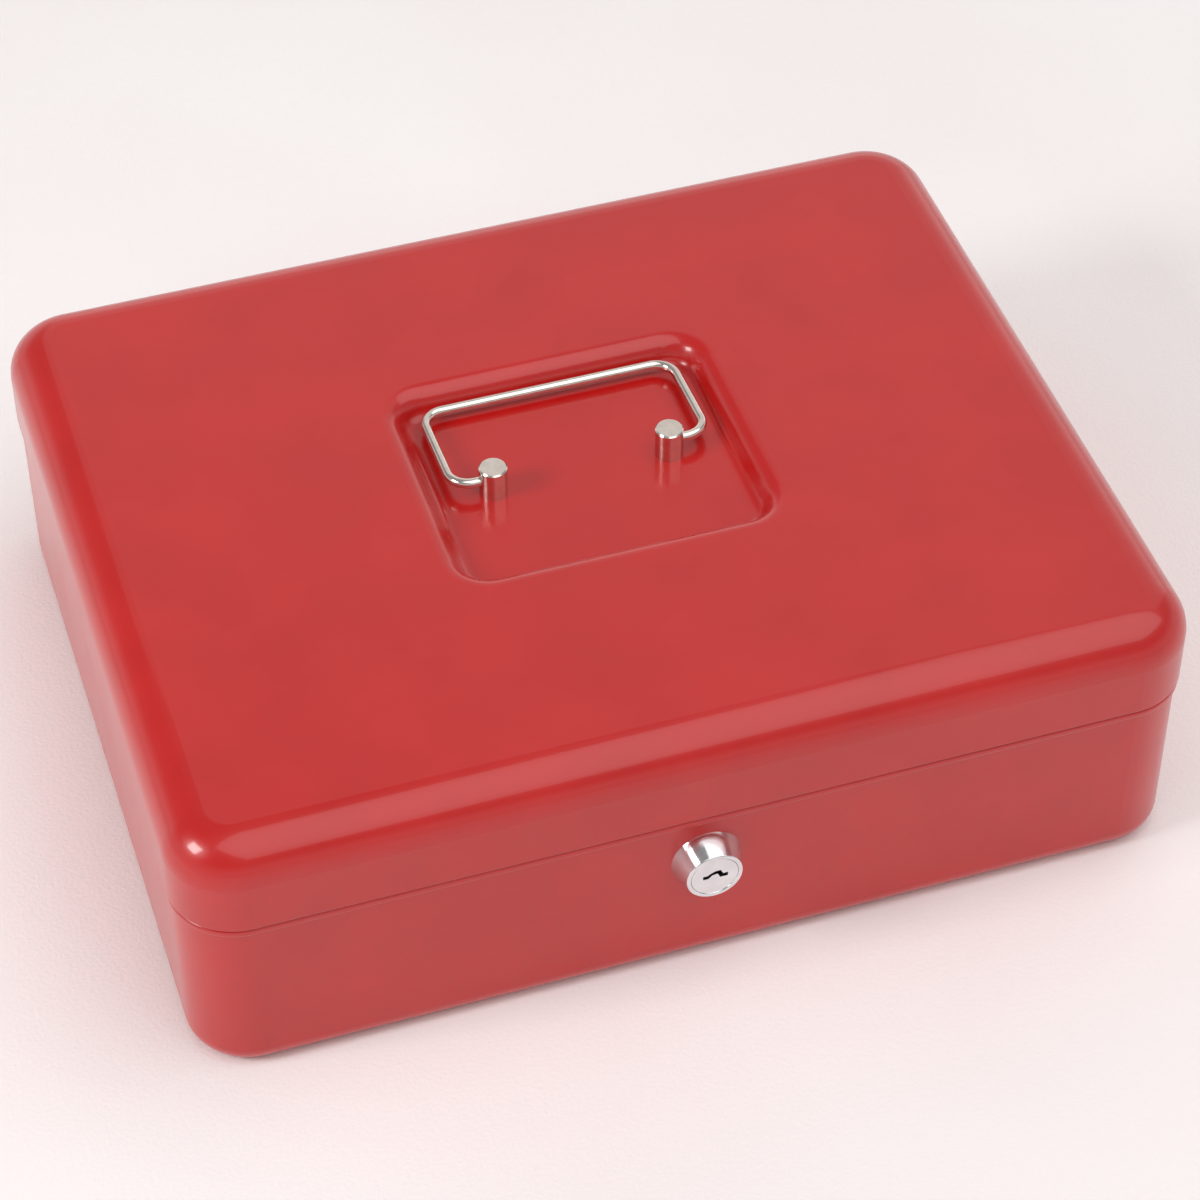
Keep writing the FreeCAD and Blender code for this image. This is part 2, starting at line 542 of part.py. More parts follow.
def make_lock_housing():
    body = lock_body("lock_housing")
    front = "-sizes.bezel_length"
    recess = "(sizes.face_diameter / 2 + sizes.thread_fit)"
    bore = "(sizes.plug_diameter / 2 + sizes.thread_fit)"
    step = "(-sizes.bezel_length + sizes.face_setback + sizes.face_thickness + sizes.thread_fit)"
    sketch = new_sketch(body, "section", "YZ")
    polygon(sketch, [(front, recess), (front, "sizes.bezel_front_diameter / 2"),
                     ("0", "sizes.bezel_base_diameter / 2"), ("0", "sizes.barrel_diameter / 2"),
                     ("sizes.barrel_length", "sizes.barrel_diameter / 2"), ("sizes.barrel_length", bore),
                     (step, bore), (step, recess)])
    turned = revolve(body, sketch)
    fillet(body, turned, "sizes.bezel_edge_radius",
           lambda edge: abs(edge.BoundBox.YMax + size("bezel_length")) < TINY * 100)


def keyway_outline():
    """The key slot across the face: a blade's width with a ward standing up into its middle."""
    lower = [(-3.5, -0.6), (-1.9, -0.6), (-0.8, 0.5), (0.8, 0.8), (1.6, -0.9), (3.9, -0.9)]
    upper = [(3.9, 0.5), (2.5, 0.4), (1.7, 2.0), (0.2, 2.0), (-1.2, 1.4), (-2.1, 0.7), (-3.5, 0.7)]
    return [(str(across), str(up)) for across, up in lower + upper]


def wafer_places():
    """How far along the plug each wafer's slot lies."""
    count = int(size("wafer_count"))
    return [f"({number} - {(count - 1) / 2}) * sizes.wafer_pitch" for number in range(count)]


def make_lock_plug():
    body = lock_body("lock_plug")
    front = "(sizes.face_setback - sizes.bezel_length)"
    behind = f"({front} + sizes.face_thickness)"
    sketch = new_sketch(body, "section", "YZ")
    polygon(sketch, [(front, "0"), (front, "sizes.face_diameter / 2"), (behind, "sizes.face_diameter / 2"),
                     (behind, "sizes.plug_diameter / 2"), (CAM_FRONT, "sizes.plug_diameter / 2"),
                     (CAM_FRONT, "0")])
    revolve(body, sketch)
    sketch = new_sketch(body, "drive", "XZ", f"-{CAM_FRONT}")
    rectangle(sketch, "(sizes.drive_flats / 2)", "(sizes.drive_flats / 2)")
    extrude(body, "Pad", sketch, "sizes.cam_thickness - sizes.thread_fit", reverse=True)
    sketch = new_sketch(body, "screw_hole", "XZ", f"-({CAM_FRONT} + sizes.cam_thickness)")
    circle(sketch, "sizes.cam_screw_diameter + 2 * sizes.thread_fit")
    extrude(body, "Pocket", sketch, "sizes.cam_screw_length", reverse=True)
    sketch = new_sketch(body, "keyway", "XZ", f"-{front}")
    polygon(sketch, keyway_outline())
    extrude(body, "Pocket", sketch, "sizes.keyway_depth")
    sketch = new_sketch(body, "wafer_slots", "XY")
    for place in wafer_places():
        rectangle(sketch, "(sizes.plug_diameter / 2)", "(sizes.wafer_thickness / 2 + sizes.wafer_fit)",
                  "0", place)
    extrude(body, "Pocket", sketch, "sizes.wafer_height + 2 * sizes.wafer_fit", middle=True)


def make_lock_wafers():
    body = lock_body("lock_wafers")
    sketch = new_sketch(body, "outline", "XY")
    for place in wafer_places():
        rectangle(sketch, "(sizes.wafer_length / 2)", "(sizes.wafer_thickness / 2)", "0", place)
    extrude(body, "Pad", sketch, "sizes.wafer_height", middle=True)
    sketch = new_sketch(body, "window", "XZ")
    rectangle(sketch, "(sizes.wafer_window_length / 2)", "(sizes.wafer_window_height / 2)", "0",
              "(sizes.wafer_window_height / 8)")
    extrude(body, "Pocket", sketch, "sizes.wafer_count * sizes.wafer_pitch", middle=True)


def make_lock_nut():
    body = lock_body("lock_nut")
    sketch = new_sketch(body, "hexagon", "XZ", "-sizes.sheet_thickness")
    hexagon(sketch, "sizes.lock_nut_flats")
    circle(sketch, "sizes.barrel_diameter + 2 * sizes.thread_fit")
    extrude(body, "Pad", sketch, "sizes.lock_nut_height", reverse=True)


def make_lock_cam():
    """The hooked cam, drawn as it stands when locked, hook up, and turned back to unlocked."""
    body = lock_body("lock_cam")
    inner = f"({CATCH_RADIUS} + sizes.catch_pin_diameter / 2 + sizes.hook_gap)"
    outer = f"({inner} + sizes.hook_width)"
    back = f"({CAM_FRONT} + sizes.cam_thickness)"
    sketch = new_sketch(body, "hub", "XZ", f"-{CAM_FRONT}")
    circle(sketch, "sizes.cam_hub_diameter")
    extrude(body, "Pad", sketch, "sizes.cam_thickness", reverse=True)
    arm_outside = f"(-{outer} * sin(sizes.hook_angle / 2 * 1 deg) - sizes.hook_width * 0.4)"
    arm_inside = f"({arm_outside} + sizes.hook_width * 1.1)"
    arm_top = f"({inner} + sizes.hook_width / 4)"
    sketch = new_sketch(body, "arm", "XZ", f"-{CAM_FRONT}")
    polygon(sketch, [(arm_outside, "-sizes.hook_width / 4"), (arm_inside, "-sizes.hook_width / 4"),
                     (arm_inside, arm_top), (arm_outside, arm_top)])
    extrude(body, "Pad", sketch, "sizes.cam_thickness", reverse=True)
    sketch = new_sketch(body, "hook", "YZ")
    polygon(sketch, [(CAM_FRONT, inner), (back, inner), (back, outer), (CAM_FRONT, outer)])
    revolve(body, sketch, "sizes.hook_angle", middle=True)
    sketch = new_sketch(body, "drive_hole", "XZ", f"-{CAM_FRONT}")
    rectangle(sketch, "(sizes.drive_flats / 2 + sizes.thread_fit)",
              "(sizes.drive_flats / 2 + sizes.thread_fit)")
    extrude(body, "Pocket", sketch, "sizes.cam_thickness")
    body.Placement = FreeCAD.Placement(FreeCAD.Vector(), FreeCAD.Rotation(FreeCAD.Vector(0, -1, 0), 1))
    body.setExpression(".Placement.Rotation.Angle", "sizes.cam_turn")


def make_cam_washer():
    body = lock_body("cam_washer")
    sketch = new_sketch(body, "ring", "XZ", f"-({CAM_FRONT} + sizes.cam_thickness)")
    circle(sketch, "sizes.cam_washer_diameter")
    circle(sketch, "sizes.cam_screw_diameter + 4 * sizes.thread_fit")
    extrude(body, "Pad", sketch, "sizes.cam_washer_thickness", reverse=True)


def make_cam_screw():
    body = lock_body("cam_screw")
    seat = f"({CAM_FRONT} + sizes.cam_thickness + sizes.cam_washer_thickness)"
    sketch = new_sketch(body, "head", "XZ", f"-{seat}")
    circle(sketch, "sizes.cam_head_diameter")
    head = extrude(body, "Pad", sketch, "sizes.cam_head_height", reverse=True)
    top = head.Shape.BoundBox.YMax
    fillet(body, head, "sizes.cam_head_height / 3", lambda edge: edge.BoundBox.YMin > top - TINY)
    sketch = new_sketch(body, "shank", "XZ", f"-{seat}")
    circle(sketch, "sizes.cam_screw_diameter")
    extrude(body, "Pad", sketch, "sizes.cam_screw_length")
    sketch = new_sketch(body, "slot", "XZ", f"-({seat} + sizes.cam_head_height)")
    rectangle(sketch, "(sizes.cam_head_diameter / 2)", "(sizes.screw_slot_width / 2)")
    extrude(body, "Pocket", sketch, "sizes.cam_head_height / 2", reverse=True)


def make_catch_plate():
    """A strip welded inside the front of the lid, over the neck and down behind the lock's nut."""
    body = new_body("catch_plate")
    wall = "(-sizes.box_depth / 2 + sizes.sheet_thickness)"
    weld_face = f"({wall} + sizes.catch_thickness)"
    back_face = f"({CATCH_Y} + sizes.catch_thickness)"
    shelf = f"({NECK_TOP} + sizes.catch_neck_gap)"
    shelf_top = f"({shelf} + sizes.catch_thickness)"
    top = "(sizes.box_height - sizes.lid_edge_radius - sizes.sheet_thickness)"
    bottom = f"({LOCK_Z} + sizes.barrel_diameter / 2 + sizes.catch_barrel_gap)"
    sketch = new_sketch(body, "section", "YZ")
    polygon(sketch, [(wall, top), (weld_face, top), (weld_face, shelf_top), (back_face, shelf_top),
                     (back_face, bottom), (CATCH_Y, bottom), (CATCH_Y, shelf), (wall, shelf)])
    strip = extrude(body, "Pad", sketch, "sizes.catch_width", middle=True)
    half = size("catch_width") / 2
    shelf_height = seam_level() + size("neck_height") + size("catch_neck_gap")

    def inside_bend(edge):
        middle = edge.CenterOfMass
        along = edge.BoundBox.XLength > half
        heights = (shelf_height, shelf_height + size("catch_thickness"))
        inward = middle.y < -size("box_depth") / 2 + size("sheet_thickness") + 1.1 * size("catch_thickness")
        low = abs(middle.z - heights[0]) < TINY * 100
        high = abs(middle.z - heights[1]) < TINY * 100
        return along and ((high and inward) or (low and not inward))
    fillet(body, strip, "sizes.catch_bend_radius", inside_bend)
    sketch = new_sketch(body, "pin_hole", "XZ", f"-({back_face} + sizes.catch_thickness)")
    circle(sketch, "sizes.catch_pin_diameter + 2 * sizes.thread_fit", "0", CATCH_Z)
    extrude(body, "Pocket", sketch, "3 * sizes.catch_thickness", reverse=True)


def make_catch_pin():
    body = new_body("catch_pin", "0", CATCH_Y, CATCH_Z)
    sketch = new_sketch(body, "pin", "XZ")
    circle(sketch, "sizes.catch_pin_diameter")
    pin = extrude(body, "Pad", sketch, "sizes.catch_pin_length", reverse=True)
    tip = pin.Shape.BoundBox.YMax
    chamfer(body, pin, "sizes.catch_pin_diameter / 8", lambda edge: edge.BoundBox.YMin > tip - TINY)
    sketch = new_sketch(body, "collar", "XZ", "-sizes.catch_thickness")
    circle(sketch, "sizes.catch_collar_diameter")
    extrude(body, "Pad", sketch, "sizes.catch_thickness", reverse=True)


# ---- handle ----------------------------------------------------------------------------------------

def make_handle_post(label, side):
    body = new_body(label, f"sizes.handle_x + {side} * sizes.post_spacing / 2", "sizes.handle_y", DISH_FLOOR)
    sketch = new_sketch(body, "post", "XY")
    circle(sketch, "sizes.post_diameter")
    post = extrude(body, "Pad", sketch, "sizes.post_height")
    chamfer(body, post, "sizes.post_edge", level_at(size("post_height")))
    sketch = new_sketch(body, "stud", "XY")
    circle(sketch, "sizes.stud_diameter")
    extrude(body, "Pad", sketch, "sizes.stud_length", reverse=True)
    sketch = new_sketch(body, "cross_hole", "YZ", f"{side} * sizes.post_diameter")
    circle(sketch, "sizes.wire_diameter + 2 * sizes.wire_fit", "0", "sizes.pivot_height")
    depth = "sizes.post_diameter / 2 + sizes.wire_in_post + sizes.wire_end_gap"
    extrude(body, "Pocket", sketch, depth, reverse=side < 0)


def make_handle_washers():
    body = new_body("handle_washers", "sizes.handle_x", "sizes.handle_y", DISH_UNDERSIDE)
    sketch = new_sketch(body, "rings", "XY")
    for side in (-1, 1):
        circle(sketch, "sizes.washer_diameter", f"{side} * sizes.post_spacing / 2")
        circle(sketch, "sizes.stud_diameter + 2 * sizes.stud_clearance", f"{side} * sizes.post_spacing / 2")
    extrude(body, "Pad", sketch, "sizes.washer_thickness", reverse=True)


def make_handle_nut(label, side):
    body = new_body(label, f"sizes.handle_x + {side} * sizes.post_spacing / 2", "sizes.handle_y",
                    f"{DISH_UNDERSIDE} - sizes.washer_thickness")
    sketch = new_sketch(body, "hexagon", "XY")
    hexagon(sketch, "sizes.handle_nut_flats")
    circle(sketch, "sizes.stud_diameter + 2 * sizes.thread_fit")
    extrude(body, "Pad", sketch, "sizes.handle_nut_height", reverse=True)


def make_handle_bail():
    """Bent wire: in from each post, two bends, a leg, a bend and the rail. It lies back at rest."""
    body = new_body("handle_bail", "sizes.handle_x", "sizes.handle_y",
                    f"{DISH_FLOOR} + sizes.pivot_height")
    body.Placement = FreeCAD.Placement(FreeCAD.Vector(), FreeCAD.Rotation(FreeCAD.Vector(-1, 0, 0), 1))
    body.setExpression(".Placement.Rotation.Angle", "sizes.bail_tilt")
    half = size("bail_width") / 2
    reach = size("bail_reach")
    bend = size("bail_bend_radius")
    end = size("post_spacing") / 2 + size("post_diameter") / 2 - size("wire_in_post")
    route = new_sketch(body, "route", "XY")
    stops = [(-end, 0), (-half, 0), (-half, reach), (half, reach), (half, 0), (end, 0)]
    stops = [FreeCAD.Vector(across, back, 0) for across, back in stops]
    lines = []
    for index in range(5):
        start, stop = stops[index], stops[index + 1]
        along = (stop - start).normalize()
        start = start + along * (bend if index > 0 else 0)
        stop = stop - along * (bend if index < 4 else 0)
        lines.append(route.addGeometry(Part.LineSegment(start, stop)))
    arcs = []
    for index in range(1, 5):
        before = (stops[index - 1] - stops[index]).normalize()
        after = (stops[index + 1] - stops[index]).normalize()
        centre = stops[index] + (before + after) * bend
        middle = centre - (before + after).normalize() * bend
        arc = Part.Arc(stops[index] + before * bend, middle, stops[index] + after * bend)
        arcs.append(route.addGeometry(arc))
    for index, arc in enumerate(arcs):
        for line, line_end in ((lines[index], 2), (lines[index + 1], 1)):
            touch = route.getPoint(line, line_end)
            arc_end = 1 if route.getPoint(arc, 1).distanceToPoint(touch) < TINY * 100 else 2
            route.addConstraint(Sketcher.Constraint("Tangent", line, line_end, arc, arc_end))
        bind(route, "Radius", arc, now=bend, to="sizes.bail_bend_radius")
    for line in (lines[0], lines[2], lines[4]):
        route.addConstraint(Sketcher.Constraint("Horizontal", line))
    for line in (lines[1], lines[3]):
        route.addConstraint(Sketcher.Constraint("Vertical", line))
    stub = "(sizes.post_spacing / 2 + sizes.post_diameter / 2 - sizes.wire_in_post)"
    bind(route, "DistanceX", lines[0], 1, now=-end, to=f"-{stub}")
    bind(route, "DistanceX", lines[4], 2, now=end, to=stub)
    for line, line_end in ((lines[0], 1), (lines[4], 2)):
        bind(route, "DistanceY", line, line_end, now=0, to="0")
    bind(route, "DistanceX", lines[1], 1, now=-half, to="-sizes.bail_width / 2")
    bind(route, "DistanceX", lines[3], 1, now=half, to="sizes.bail_width / 2")
    bind(route, "DistanceY", lines[2], 1, now=reach, to="sizes.bail_reach")
    section = new_sketch(body, "section", "YZ", f"-{stub}")
    circle(section, "sizes.wire_diameter")
    doc.recompute()
    wire = body.newObject("PartDesign::AdditivePipe", "handle_bail_wire")
    wire.Profile = section
    wire.Spine = route
    doc.recompute()


# ---- tray --------------------------------------------------------------------------------------------

def make_tray_ledge(label, side):
    """An angle strip welded inside an end wall. The tray's rim rests on it."""
    body = new_body(label)
    wall = f"({BASE_HALF_WIDTH} - sizes.sheet_thickness)"
    thin = "sizes.ledge_thickness"
    top = LEDGE_TOP
    edge = f"({TRAY_HALF_WIDTH} - sizes.ledge_cover)"
    corners = [(wall, top), (edge, top),
               (edge, f"{top} - {thin}"),
               (f"({wall} - {thin})", f"{top} - {thin}"),
               (f"({wall} - {thin})", f"{top} - sizes.ledge_flange"), (wall, f"{top} - sizes.ledge_flange")]
    sketch = new_sketch(body, "section", "XZ", f"-{TRAY_MIDDLE}")
    polygon(sketch, [(f"{side} * {across}", up) for across, up in corners])
    extrude(body, "Pad", sketch, "sizes.ledge_length", middle=True)


def cup_pitch(count):
    """From one cup to the next, where so many cups share the width of the tray."""
    return f"(2 * ({TRAY_HALF_WIDTH} - sizes.tray_rim_width) / {count})"


def cup_half_width(count):
    return f"(({cup_pitch(count)} - sizes.cup_spacing) / 2 - sizes.tray_wall)"


def cup_rows():
    """Each row of cups: its name, number, middle, length and scoop radius, front row first."""
    front = f"({TRAY_FRONT} + sizes.tray_rim_width)"
    back = f"({TRAY_BACK} - sizes.tray_rim_width)"
    split = f"({front} + sizes.coin_row_length)"
    coin_scoop_radius = f"({cup_half_width('sizes.coin_cup_count')} - sizes.coin_cup_flat / 2)"
    return [("coin", int(size("coin_cup_count")), f"(({front} + {split}) / 2)",
             "sizes.coin_row_length", coin_scoop_radius),
            ("note", int(size("note_cup_count")), f"(({split} + {back}) / 2)",
             f"({back} - {split})", "sizes.note_scoop_radius")]


def draw_cups(sketch, count, middle, length, thinner):
    """The outlines of one row of cups, thinner all round by one expression."""
    pitch = cup_pitch(count)
    half_width = f"(({pitch} - sizes.cup_spacing) / 2 - {thinner})"
    half_length = f"(({length} - sizes.cup_spacing) / 2 - {thinner})"
    for number in range(count):
        rectangle(sketch, half_width, half_length, f"({number} - {(count - 1) / 2}) * {pitch}", middle)


def scoop(body, feature, bottom, row, radius, end_radius):
    """Round the long bottom edges of a row of cups, then the outlines of their end walls."""
    first, last = row

    def long_bottom(edge):
        box = edge.BoundBox
        return level_at(bottom)(edge) and box.YLength > box.XLength and first < box.YMin < last
    ends = set()
    for edge in filter(long_bottom, feature.Shape.Edges):
        ends.update((edge.BoundBox.YMin, edge.BoundBox.YMax))
    mouth = bottom + size("cup_height") - 3 * size("tray_wall")

    def end_outline(edge):
        box = edge.BoundBox
        at_end = min(abs(box.YMin - end) for end in ends) < TINY * 100
        return box.YLength < TINY * 100 and at_end and box.ZMin < mouth
    rounded = fillet(body, feature, radius, long_bottom)
    return fillet(body, rounded, end_radius, end_outline)


def make_coin_tray():
    body = new_body("coin_tray")
    wall = "sizes.tray_wall"
    sketch = new_sketch(body, "rim", "XY", f"{TRAY_TOP} - sizes.tray_rim_height")
    rounded_rectangle(sketch, TRAY_HALF_WIDTH, TRAY_HALF_LENGTH, "sizes.tray_corner_radius", "0", TRAY_MIDDLE)
    rim = extrude(body, "Pad", sketch, "sizes.tray_rim_height")
    ledge_level = seam_level() - size("seam_gap") - size("ledge_drop")
    top = ledge_level + size("tray_rest_gap") + size("tray_rim_height")
    front = rim.Shape.BoundBox.YMin
    back = rim.Shape.BoundBox.YMax
    fillet(body, rim, "sizes.tray_rim_rounding", level_at(top))
    sketch = new_sketch(body, "under_rim", "XY", f"{TRAY_TOP} - sizes.tray_rim_height")
    rounded_rectangle(sketch, f"({TRAY_HALF_WIDTH} - {wall})", f"({TRAY_HALF_LENGTH} - {wall})",
                      f"sizes.tray_corner_radius - {wall}", "0", TRAY_MIDDLE)
    extrude(body, "Pocket", sketch, f"sizes.tray_rim_height - {wall}", reverse=True)
    for name, count, middle, length, radius in cup_rows():
        sketch = new_sketch(body, f"{name}_cups", "XY", f"{TRAY_TOP} - {wall}")
        draw_cups(sketch, count, middle, length, "0")
        extrude(body, "Pad", sketch, f"sizes.cup_height - {wall}", reverse=True)
    for name, count, middle, length, radius in cup_rows():
        sketch = new_sketch(body, f"{name}_hollows", "XY", TRAY_TOP)
        draw_cups(sketch, count, middle, length, wall)
        feature = extrude(body, "Pocket", sketch, f"sizes.cup_height - {wall}")
    # Hollows are rounded before the outsides, so that no sharp hollow breaks through.
    bottom = top - size("cup_height")
    split = front + size("tray_rim_width") + size("coin_row_length")
    spans = [(front, split), (split, back)]
    for level, more in ((bottom + size("tray_wall"), ""), (bottom, f" + {wall}")):
        for span, (name, count, middle, length, radius) in zip(spans, cup_rows()):
            feature = scoop(body, feature, level, span, radius + more, "sizes.cup_end_radius" + more)


# ---- the whole box -----------------------------------------------------------------------------------

make_base_shell()
make_lid_shell()
for side_name, side_sign in (("left", -1), ("right", 1)):
    make_hinge_leaf(f"hinge_base_leaf_{side_name}", side_sign, up=-1)
    make_hinge_leaf(f"hinge_lid_leaf_{side_name}", side_sign, up=1)
    make_hinge_pin(f"hinge_pin_{side_name}", side_sign)
    make_tray_ledge(f"tray_ledge_{side_name}", side_sign)
    make_handle_post(f"handle_post_{side_name}", side_sign)
    make_handle_nut(f"handle_nut_{side_name}", side_sign)
make_hinge_rivets("base_hinge_rivets", BASE_HALF_DEPTH, 1, "-")
make_hinge_rivets("lid_hinge_rivets", "(sizes.box_depth / 2)", 1, "+")
make_lock_housing()
make_lock_plug()
make_lock_wafers()
make_lock_nut()
make_lock_cam()
make_cam_washer()
make_cam_screw()
make_catch_plate()
make_catch_pin()
make_handle_washers()
make_handle_bail()
make_coin_tray()
doc.recompute()

for item in doc.Objects:
    if "Invalid" in item.State or "Error" in item.State:
        raise RuntimeError(f"{item.Label} failed: {item.State}")
for part in sub_parts:
    if part.Shape.isNull() or not part.Shape.isValid() or not part.Shape.Solids:
        raise RuntimeError(f"{part.Label} has no valid shape")

os.makedirs("parts", exist_ok=True)
for part in sub_parts:
    part.Shape.exportStep(f"parts/{part.Label}.step")
    box = part.Shape.BoundBox
    volume = part.Shape.Volume / 1000
    print(f"{part.Label:24s} {len(part.Shape.Solids)} solid(s) {volume:8.2f} cm3  X {box.XMin:.1f} "
          f"{box.XMax:.1f}  Y {box.YMin:.1f} {box.YMax:.1f}  Z {box.ZMin:.1f} {box.ZMax:.1f}")
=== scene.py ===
# %% [markdown]
# # A red enamelled cash box with a lift-out tray
#
# The box is pressed from thin steel sheet, stoved in glossy red enamel, and fitted with a nickel wire
# handle and a chromed lock. The exact shapes of its hard parts come from a CAD model. This lesson loads
# that model as a fixed frame, gives every part a finish, adds the small pressed and moulded details
# that a CAD model leaves out, and lights the box as in a small studio.

# %% Load the frame
import json
import math
import bmesh
import bpy
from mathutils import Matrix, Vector


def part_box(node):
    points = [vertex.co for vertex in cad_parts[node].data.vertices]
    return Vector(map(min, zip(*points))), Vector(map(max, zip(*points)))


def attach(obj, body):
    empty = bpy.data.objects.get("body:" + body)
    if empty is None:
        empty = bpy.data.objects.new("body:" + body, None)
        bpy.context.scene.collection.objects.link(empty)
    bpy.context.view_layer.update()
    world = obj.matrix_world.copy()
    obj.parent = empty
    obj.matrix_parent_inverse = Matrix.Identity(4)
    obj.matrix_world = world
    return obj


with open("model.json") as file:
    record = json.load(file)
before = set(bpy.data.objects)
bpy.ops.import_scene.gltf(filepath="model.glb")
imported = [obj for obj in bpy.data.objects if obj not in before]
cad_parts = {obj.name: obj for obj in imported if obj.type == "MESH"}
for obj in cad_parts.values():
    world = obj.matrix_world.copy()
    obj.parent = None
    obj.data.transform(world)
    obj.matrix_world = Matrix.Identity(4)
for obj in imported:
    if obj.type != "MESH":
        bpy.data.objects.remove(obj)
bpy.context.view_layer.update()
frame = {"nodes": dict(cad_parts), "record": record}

nodes = frame["nodes"]

# %% [markdown]
# Every length in Blender is in metres here, while a maker thinks of a cash box in millimetres. One
# named factor keeps the two apart. The sizes of the box are read from the frame, so that a detail
# always sits on its part.

# %% Sizes from the frame
MM = 0.001
LEFT, RIGHT = -1, 1
lid_low, lid_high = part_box("lid_shell")
tray_low, tray_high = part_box("coin_tray")
print("lid", [round(side / MM, 1) for side in lid_high - lid_low], "mm")

# %% [markdown]
# ## Finishes
#
# A shader wants linear light, while colours are chosen as sRGB hex values, so one function turns
# the one into the other. A second small function adds any node to a material, sets its values and joins
# it up. Each finish below is then a short list of what the real surface is made of.

# %% Colour and node helpers
def linear(hex_colour):
    """An sRGB hex colour as the four linear numbers that a shader takes."""
    channels = [int(hex_colour[place:place + 2], 16) / 255 for place in (1, 3, 5)]
    return tuple(c / 12.92 if c <= 0.04045 else ((c + 0.055) / 1.055) ** 2.4 for c in channels) + (1.0,)


def add_node(material, kind, settings=None, **inputs):
    """Adds one node. Settings are its own properties; inputs are values, or (node, output) to link."""
    node = material.node_tree.nodes.new(kind)
    for name, value in (settings or {}).items():
        setattr(node, name, value)
    for name, value in inputs.items():
        socket = node.inputs[name.replace("_", " ")]
        if isinstance(value, tuple) and isinstance(value[0], bpy.types.Node):
            material.node_tree.links.new(value[0].outputs[value[1]], socket)
        else:
            socket.default_value = value
    return node


def new_finish(name, **shader_values):
    """A material with one Principled shader, its values set on the shader's own sockets."""
    material = bpy.data.materials.new(name)
    material.use_nodes = True
    material.node_tree.nodes.clear()
    shader = add_node(material, "ShaderNodeBsdfPrincipled")
    for socket, value in shader_values.items():
        shader.inputs[socket.replace("_", " ")].default_value = value
    output = add_node(material, "ShaderNodeOutputMaterial")
    material.node_tree.links.new(shader.outputs["BSDF"], output.inputs["Surface"])
    place = add_node(material, "ShaderNodeTexCoord")
    return material, shader, place


def join(material, node, output, target, socket):
    material.node_tree.links.new(node.outputs[output], target.inputs[socket])


def grain(material, place, size, detail=3.0, stretch=(1.0, 1.0, 1.0)):
    """Noise with grains of a real size in metres, drawn out by stretch along each axis."""
    mapping = add_node(material, "ShaderNodeMapping", Vector=(place, "Object"), Scale=stretch)
    return add_node(material, "ShaderNodeTexNoise", Vector=(mapping, "Vector"), Scale=1 / size,
                    Detail=detail)


def vary_colour(material, shader, noise, dark, light, low=0.35, high=0.65):
    """Moves the base colour between two near shades by the noise."""
    shades = add_node(material, "ShaderNodeMapRange", Value=(noise, "Fac"), From_Min=low, From_Max=high)
    mixed = add_node(material, "ShaderNodeMix", {"data_type": "RGBA"})
    join(material, shades, "Result", mixed, "Factor")
    mixed.inputs["A"].default_value = linear(dark)
    mixed.inputs["B"].default_value = linear(light)
    material.node_tree.links.new(mixed.outputs["Result"], shader.inputs["Base Color"])


def vary_roughness(material, shader, noise, smooth, rough, low=0.3, high=0.7):
    spread = add_node(material, "ShaderNodeMapRange", Value=(noise, "Fac"), From_Min=low, From_Max=high,
                      To_Min=smooth, To_Max=rough)
    join(material, spread, "Result", shader, "Roughness")


def add_bump(material, shader, layers):
    """Adds bumps over one another. Each layer is (noise, height in metres)."""
    before = None
    for noise, height in layers:
        bump = add_node(material, "ShaderNodeBump", Height=(noise, "Fac"), Distance=height, Strength=1.0)
        if before:
            join(material, before, "Normal", bump, "Normal")
        before = bump
    join(material, before, "Normal", shader, "Normal")


# %% [markdown]
# **Stoving enamel.** A thick alkyd paint is sprayed on the pressed sheet and baked until it flows out
# smooth. It mirrors the room twice over, like all paint of index about 1.5: sharply in its clear skin,
# which is the shader's coat, and softly in the pigment just under the skin. Close to, it is not quite
# flat: the skin has "orange peel", shallow dimples a couple of millimetres apart, and the sheet under
# it keeps faint broad waves from the press. Both are bumps of a few hundredths of a millimetre at most.
# The red itself is very even, apart from a speck of dust here and there that was caught in the wet
# paint.

# %% Red stoving enamel
PEEL_SIZE = 2.4 * MM
PRESS_WAVE_SIZE = 42 * MM
NIB_SPACING = 26 * MM
NIB_SIZE = 0.45 * MM
NIB_DARKNESS = 0.55
CLOUD_SIZE = 30 * MM


def add_dust_nibs(material, shader, place):
    """A few dark specks of dust under the paint: the near middles of widely spaced Voronoi cells."""
    cells = add_node(material, "ShaderNodeTexVoronoi", Vector=(place, "Object"), Scale=1 / NIB_SPACING)
    nearness = add_node(material, "ShaderNodeMapRange", Value=(cells, "Distance"),
                        From_Min=0.5 * NIB_SIZE / NIB_SPACING, From_Max=NIB_SIZE / NIB_SPACING,
                        To_Min=NIB_DARKNESS, To_Max=0.0)
    speck = add_node(material, "ShaderNodeMix", {"data_type": "RGBA"})
    painted = shader.inputs["Base Color"].links[0].from_socket
    join(material, nearness, "Result", speck, "Factor")
    material.node_tree.links.new(painted, speck.inputs["A"])
    speck.inputs["B"].default_value = linear("#5A1210")
    material.node_tree.links.new(speck.outputs["Result"], shader.inputs["Base Color"])


